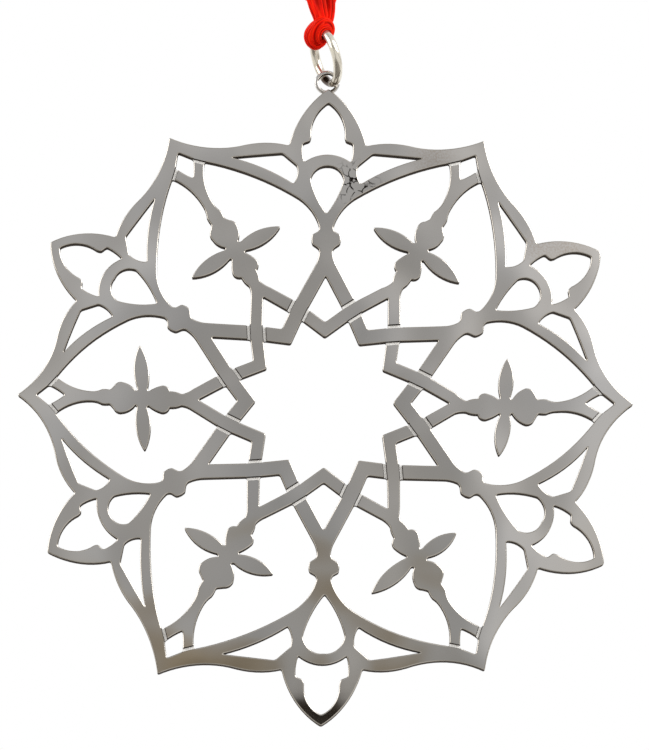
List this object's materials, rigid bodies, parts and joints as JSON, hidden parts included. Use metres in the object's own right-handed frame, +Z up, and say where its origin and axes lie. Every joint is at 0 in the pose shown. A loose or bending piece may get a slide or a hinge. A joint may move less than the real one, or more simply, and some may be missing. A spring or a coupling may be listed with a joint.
{
  "type": "snowflake ornament",
  "caption": "Flat pierced snowflake plate of interlaced straps and scrolled points, silver plated, hung by a soldered eye and jump ring from a loop of red satin ribbon.",
  "frame": {"origin": "top of the ribbon loop, under its end knot, where a hook or a branch holds it", "axes": "+Z up, the plate hangs in the XZ plane and its front looks to -Y"},
  "size_m": [0.0871, 0.0089, 0.1809],
  "materials": {
    "silver_plate": "silver plated, polished, with a little tarnish",
    "bright_silver": "silver plated, bright",
    "red_satin": "woven satin ribbon"
  },
  "bodies": {
    "ribbon_loop": {"ribbon_left_strand": "red_satin", "ribbon_right_strand": "red_satin", "ribbon_end_knot": "red_satin"},
    "hitch": {"ribbon_hitch": "red_satin"},
    "ring": {"jump_ring": "bright_silver"},
    "snowflake": {"snowflake_plate": "silver_plate", "hanging_eye": "silver_plate"}
  },
  "joints": [
    {"name": "ribbon_twist", "type": "hinge", "parent": "ribbon_loop", "child": "hitch", "pos_m": [-0.00115, -0.00396, -0.06475], "axis": [0, 0, 1], "range_deg": [-90, 90], "stiffness_Nm_per_rad": 0.00005, "deforming": ["ribbon_left_strand", "ribbon_right_strand"]},
    {"name": "ring_turn", "type": "hinge", "parent": "hitch", "child": "ring", "pos_m": [-0.00026, -0.00232, -0.06909], "axis": [0.9001, 0.2547, 0.3535], "range_deg": [-40, 40]},
    {"name": "plate_swing", "type": "hinge", "parent": "ring", "child": "snowflake", "pos_m": [0.0003, 0, -0.0722], "axis": [-0.4111, 0.765, 0.4957], "range_deg": [-60, 60]}
  ]
}
